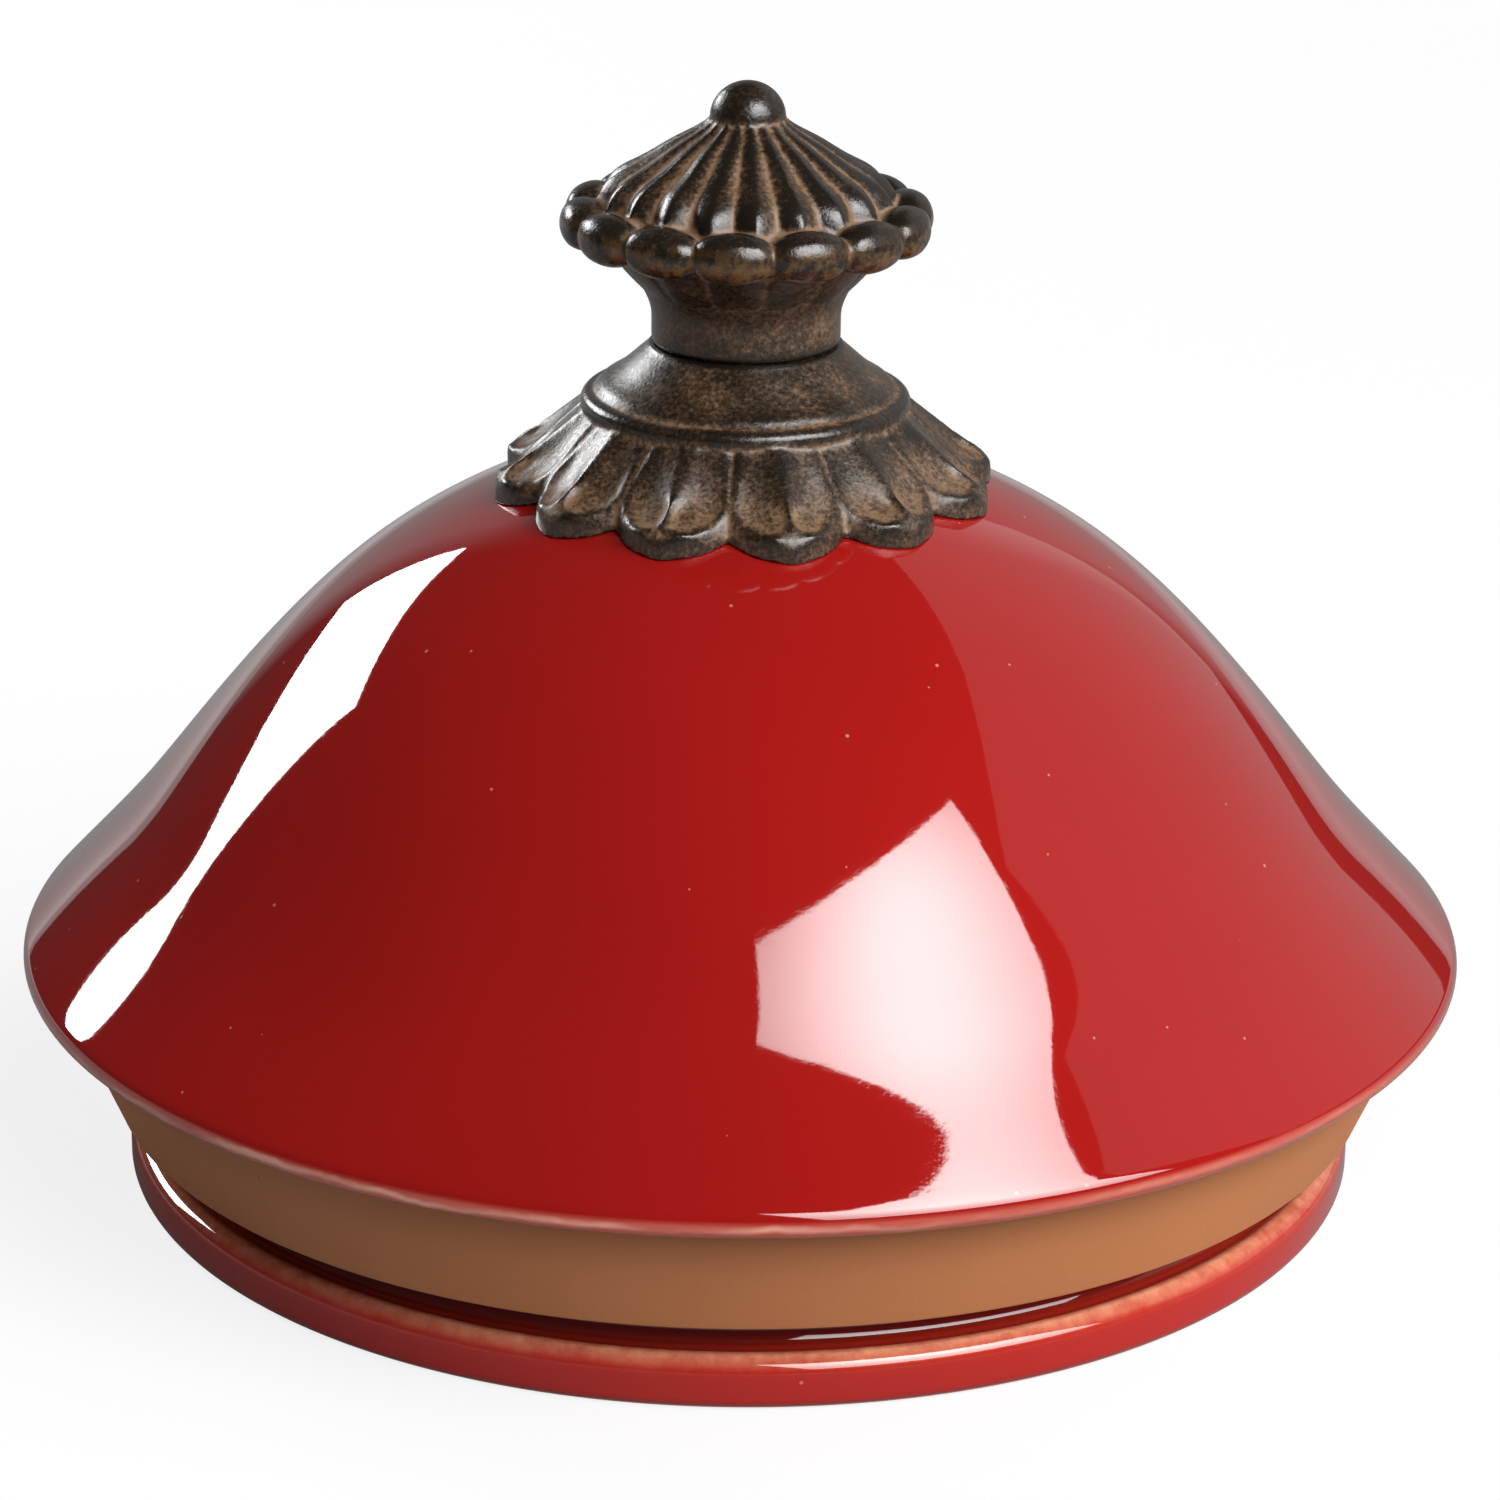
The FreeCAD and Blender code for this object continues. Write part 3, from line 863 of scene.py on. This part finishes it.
def red_glaze():
    f = Finish("red_glaze")
    drift = f.noise(0.02, 2.0)
    colour = f.mix(drift.over(0.5, 0.5), (0.30, 0.0066, 0.0052), (0.345, 0.0080, 0.0064))
    patchy = f.noise(0.11, 4.0, 0.6)
    # painted shade: the glaze is darkened where the cove meets the neck, under the seal lip; and
    # the glaze breaks pale on the foot ring's crest
    shade_under_seal = f.z.band(5.2, 11.0, 1.2) * f.radius.near(neck_radius, 1.6)
    colour = f.mix(shade_under_seal * 0.7, colour, (0.11, 0.005, 0.005))
    foot_ring = f.z.over(5.0, 1.2) * (1 - f.z.over(8.2, 0.6))
    colour = f.mix(f.radius.near(75.4, 2.8) * foot_ring, colour, (0.50, 0.052, 0.024))
    # painted light: the foot ring's outer face is made a brighter red to stand for the light it
    # catches
    lit_foot_face = (1 - f.z.over(6.0, 1.5)) * f.radius.over(70.0, 1.0)
    colour = f.mix(lit_foot_face * 0.7, colour, (0.47, 0.0130, 0.0080))
    mottle = f.noise(0.5, 4.0, 0.65) * 1.6 + patchy * 1.2 - 0.7
    pale_crest = (f.radius.near(75.9, 1.7) * foot_ring * mottle).limited()
    colour = f.mix(pale_crest, colour, (0.86, 0.36, 0.21))
    # the brim's edge: paler all round, with a wandering line where the glaze has run off
    rim = f.radius.over(88.6, 0.5)
    colour = f.mix(f.z.band(27.4, 29.4, 0.7) * rim * 0.6, colour, (0.62, 0.13, 0.085))
    wander = f.noise(0.09, 3.0, 0.6) - 0.5
    line = (f.z + wander * 2.2).near(28.6, 0.6) * rim
    worn = f.noise(0.03, 2.0).over(0.46, 0.12) * (1 - f.x.over(0.0, 50.0) * 0.8)
    colour = f.mix((line * worn * (patchy * 2.6)).limited(), colour, (0.78, 0.34, 0.25))
    dust = f.specks(4.5, 0.22, 0.4) + f.specks(17.0, 0.36, 0.4)
    colour = f.mix(dust * 0.7, colour, (0.62, 0.26, 0.17))
    bare_foot = (1 - f.z.over(0.5, 0.3)) * f.radius.over(66.0, 0.5)
    colour = f.mix(bare_foot, colour, (0.66, 0.50, 0.38))
    ripple = f.noise(0.3, 2.0) + f.noise(1.5, 2.0) * 0.1 + f.noise(2.4, 1.0) * 0.22
    return f.surface(
        Base_Color=colour,
        Roughness=(bare_foot * 0.7 + 0.03).limited(),
        IOR=1.5,
        Coat_Weight=(1 - bare_foot),
        Coat_Roughness=0.012,
        Coat_IOR=1.5,
        Normal=f.bump(ripple - f.specks(6.0, 0.2, 0.35) * 0.5, 0.12, 0.06),
    )


def tan_seal():
    f = Finish("tan_seal")
    tone = f.noise(0.05, 3.0)
    colour = f.mix(tone, (0.50, 0.182, 0.064), (0.57, 0.207, 0.076))
    grain = f.noise(2.2, 3.0)
    # painted shade: the seal darkens towards its top, under the brim; the grain share is the
    # rubber's own mottling
    colour = f.mix(grain * 0.25 + f.z.over(24.0, 9.0) * 0.55, colour, (0.33, 0.112, 0.036))
    colour = f.mix(f.specks(9.0, 0.22, 0.25) * 0.6, colour, (0.12, 0.05, 0.03))
    return f.surface(
        Base_Color=colour,
        Roughness=grain * 0.15 + 0.47,
        Normal=f.bump(grain, 0.2, 0.04),
    )


def cast_bronze():
    f = Finish("cast_bronze")
    hollow = f.attribute("hollow")
    edge = f.attribute("edge")
    speckle = f.noise(1.7, 5.0, 0.72)
    patches = f.noise(0.2, 3.0)
    normal_x, normal_y, normal_z = f.node("ShaderNodeTexCoord", output="Normal").axes()
    sideways = (f.x * normal_y - f.y * normal_x) / f.radius
    petals = 1 - f.z.over(97.0, 2.0)
    lips = (1 - normal_z.over(0.3, 0.35)) * (1 - f.z.over(93.0, 1.5))
    cap = f.z.over(122.0, 1.0) * (1 - f.z.over(131.0, 1.0))
    beads = f.z.band(116.8, 122.0, 0.8) * f.radius.over(17.0, 1.0)
    neck = f.z.band(105.3, 117.5, 0.6) * (1 - f.radius.over(17.5, 1.0))
    # dust lies in the hollows and is rubbed off the crests
    collar = 1 - f.z.over(104.7, 0.4)
    dust = hollow * (2.8 - collar * 1.3) + edge * (8.0 - collar * 3.5)
    dust = dust + (speckle - 0.5) * 2.3 + (patches - 0.5) * 1.0
    dust = dust + cap * (hollow * 1.6 + sideways * 0.5) + petals * ((93.4 - f.z) * 0.08 + 0.1)
    dust = (dust + neck * 0.12 - beads * 0.12 - lips * 0.34 + 0.36).limited()
    colour = f.node(
        "ShaderNodeValToRGB",
        {
            "stops": [
                (0.0, (0.012, 0.0080, 0.0050)),
                (0.36, (0.034, 0.0192, 0.0098)),
                (0.62, (0.088, 0.0475, 0.0225)),
                (1.0, (0.200, 0.1150, 0.0600)),
            ]
        },
        {0: dust},
    )
    pores = f.noise(2.4, 4.0, 0.7).over(0.60, 0.08) * petals
    colour = f.mix(pores * 0.75, colour, (0.016, 0.0110, 0.0080))
    streaks = f.noise(0.55, 4.0, 0.65)
    scuffs = beads * (1 - f.z.over(121.0, 3.0)) * streaks.over(0.5, 0.16)
    colour = f.mix(scuffs * 0.75, colour, (0.150, 0.0760, 0.0230))
    grain = f.noise(2.2, 3.0, 0.6) + f.noise(0.9, 2.0) * 0.8
    return f.surface(
        Base_Color=colour,
        Roughness=(dust * 0.28 + 0.22).limited(),
        Specular_IOR_Level=0.8,
        Normal=f.bump(grain, 0.45, 0.11),
    )


def plated_steel():
    f = Finish("plated_steel")
    grain = f.noise(1.2, 3.0)
    colour = f.mix(grain, (0.46, 0.46, 0.47), (0.60, 0.59, 0.57))
    return f.surface(Base_Color=colour, Metallic=1.0, Roughness=grain * 0.2 + 0.22)


def pad_rubber():
    f = Finish("pad_rubber")
    grain = f.noise(2.0, 3.0)
    colour = f.mix(grain, (0.018, 0.018, 0.018), (0.04, 0.038, 0.036))
    return f.surface(
        Base_Color=colour,
        Roughness=grain * 0.2 + 0.6,
        Normal=f.bump(grain, 0.3, 0.05),
    )


def clad(piece, material):
    piece.data.materials.clear()
    piece.data.materials.append(material)


glaze = red_glaze()
bronze = cast_bronze()
clad(lid_glaze, glaze)
clad(seal_band, tan_seal())
clad(collar_casting, bronze)
clad(knob_casting, bronze)
steel = plated_steel()
clad(stud, steel)
rubber = pad_rubber()
for node, material in (
    ("flat_washer", steel),
    ("lock_washer", steel),
    ("hex_nut", steel),
    ("inner_pad", rubber),
    ("collar_pad", rubber),
):
    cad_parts[node].material_slots[0].material = material

for piece, body, node, slot in (
    (lid_glaze, "lid", "lid_shell", "red_glaze"),
    (seal_band, "lid", "seal_ring", "seal_rubber"),
    (collar_casting, "lid", "petal_collar", "cast_finish"),
    (stud, "finial", "finial_stud", "plated_steel"),
    (knob_casting, "finial", "finial_knob", "cast_finish"),
):
    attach(piece, body)
    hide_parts(node)


# Stage: a pale floor, white to the camera all round, three lamps and the camera

def sky_way(azimuth, elevation):
    """Unit vector; azimuth 0 is the camera's side, growing towards +X."""
    turn, rise = radians(azimuth), radians(elevation)
    return Vector((sin(turn) * cos(rise), -cos(turn) * cos(rise), sin(rise)))


def soft_box(name, azimuth, elevation, distance, width, height, brightness, facing=None):
    """An area light round the lid; it leans to look at the lid unless facing gives its lean."""
    deselect_all()
    bpy.ops.object.light_add(type="AREA")
    box = bpy.context.object
    box.name = name
    box.data.shape = "RECTANGLE"
    box.data.size = width
    box.data.size_y = height
    box.data.energy = brightness * 4 * width * height
    box.location = Vector((0, 0, 0.06)) + sky_way(azimuth, elevation) * distance
    lean = elevation if facing is None else facing
    box.rotation_mode = "QUATERNION"
    box.rotation_quaternion = sky_way(azimuth, lean).to_track_quat("Z", "Y")
    box.visible_camera = False
    return box


def umbrella_grade(box):
    """Brightest in the middle; its top edge sags between the corners and its left edge slants."""
    box.data.use_nodes = True
    shading = Shading(box.data.node_tree)
    across, up = shading.node("ShaderNodeNewGeometry", output="Parametric").axes()[:2]
    across = (across - 0.5) * box.data.size
    up = (up - 0.5) * box.data.size_y
    spread = ((across - 0.08) ** 2 + (up - 0.12) ** 2) / 0.34
    below_edge = 1 - (up - across * across * 0.45).over(0.395, 0.012)
    inside_edge = (across - (0.5 - up) * 0.16).over(-0.545, 0.012)
    emission = box.data.node_tree.nodes["Emission"]
    shading.feed(emission.inputs["Strength"], below_edge * inside_edge / (spread + 1))


def make_floor():
    deselect_all()
    bpy.ops.mesh.primitive_plane_add(size=8.0)
    floor = bpy.context.object
    floor.name = "floor"
    paint = Finish("pale_floor")
    path = paint.node("ShaderNodeLightPath", output=None)
    seen = Value(paint, path.outputs["Is Camera Ray"])
    mirrored = Value(paint, path.outputs["Is Glossy Ray"])
    tone = paint.mix(mirrored, (0.40, 0.40, 0.40), (0.24, 0.24, 0.24))
    tone = paint.mix(seen, tone, (0.92, 0.92, 0.92))
    paint.surface(Base_Color=tone, Roughness=0.9, Specular_IOR_Level=0.0)
    far_glow = mirrored * paint.y.over(400, 400) * 0.25
    far_white = paint.radius.over(700, 800) * 0.18
    glow = paint.node("ShaderNodeEmission", {}, {"Color": (1, 1, 1), "Strength": 1.0})
    matte = Value(paint, paint.shader.outputs[0])
    share = seen * (far_white + 0.82) + far_glow
    mixed = paint.node("ShaderNodeMixShader", {}, {0: share, 1: matte, 2: glow})
    paint.feed(paint.tree.nodes["Material Output"].inputs["Surface"], mixed)
    clad(floor, paint.material)


def make_sky():
    world = bpy.data.worlds.new("studio")
    bpy.context.scene.world = world
    world.use_nodes = True
    sky = Shading(world.node_tree)
    path = sky.node("ShaderNodeLightPath", output=None)
    seen = Value(sky, path.outputs["Is Camera Ray"])
    mirrored = Value(sky, path.outputs["Is Glossy Ray"])
    right, back, up = sky.node("ShaderNodeTexCoord", output="Generated").axes()
    level = (right * right + back * back) ** 0.5
    behind = (back / level).over(0.89, 0.05) * (1 - up.over(0.55, 0.2))
    from_right = (right * 0.94 + up * 0.34).maths("MAXIMUM", 0.0) ** 3
    room = mirrored * (behind * 0.22 + 0.03) + (1 - mirrored) * (from_right * 1.9 + 0.02)
    background = world.node_tree.nodes["Background"]
    background.inputs["Color"].default_value = (1, 1, 1, 1)
    sky.feed(background.inputs["Strength"], seen + (1 - seen) * room)


def make_camera():
    camera_distance = 0.620
    camera_elevation = 20.1
    camera_roll = -0.0092
    focal_pixels = 4950.0
    photo_pixels = 1500.0
    centre_pixels = (742.0, 767.0)
    deselect_all()
    bpy.ops.object.camera_add()
    camera = bpy.context.object
    camera.name = "camera"
    way = sky_way(0, camera_elevation)
    camera.location = Vector((0, 0, 0.05)) + way * camera_distance
    camera.rotation_mode = "QUATERNION"
    camera.rotation_quaternion = way.to_track_quat("Z", "Y") @ Quaternion((0, 0, 1), -camera_roll)
    camera.data.sensor_width = 36.0
    camera.data.lens = focal_pixels / photo_pixels * camera.data.sensor_width
    camera.data.shift_x = (photo_pixels / 2 - centre_pixels[0]) / photo_pixels
    camera.data.shift_y = (centre_pixels[1] - photo_pixels / 2) / photo_pixels
    camera.data.clip_start = 0.05
    bpy.context.scene.camera = camera


make_floor()
make_sky()
make_camera()
soft_box("strip_back_left", -134.5, 20.5, 1.2, 0.58, 0.37, 8.0)
umbrella_grade(soft_box("umbrella_front_right", 35.2, 43.9, 1.248, 1.10, 1.15, 8.6, facing=0.0))
soft_box("wall_right", 118.0, 30.0, 1.6, 2.2, 1.6, 0.22)

bpy.context.scene.view_settings.view_transform = "Standard"
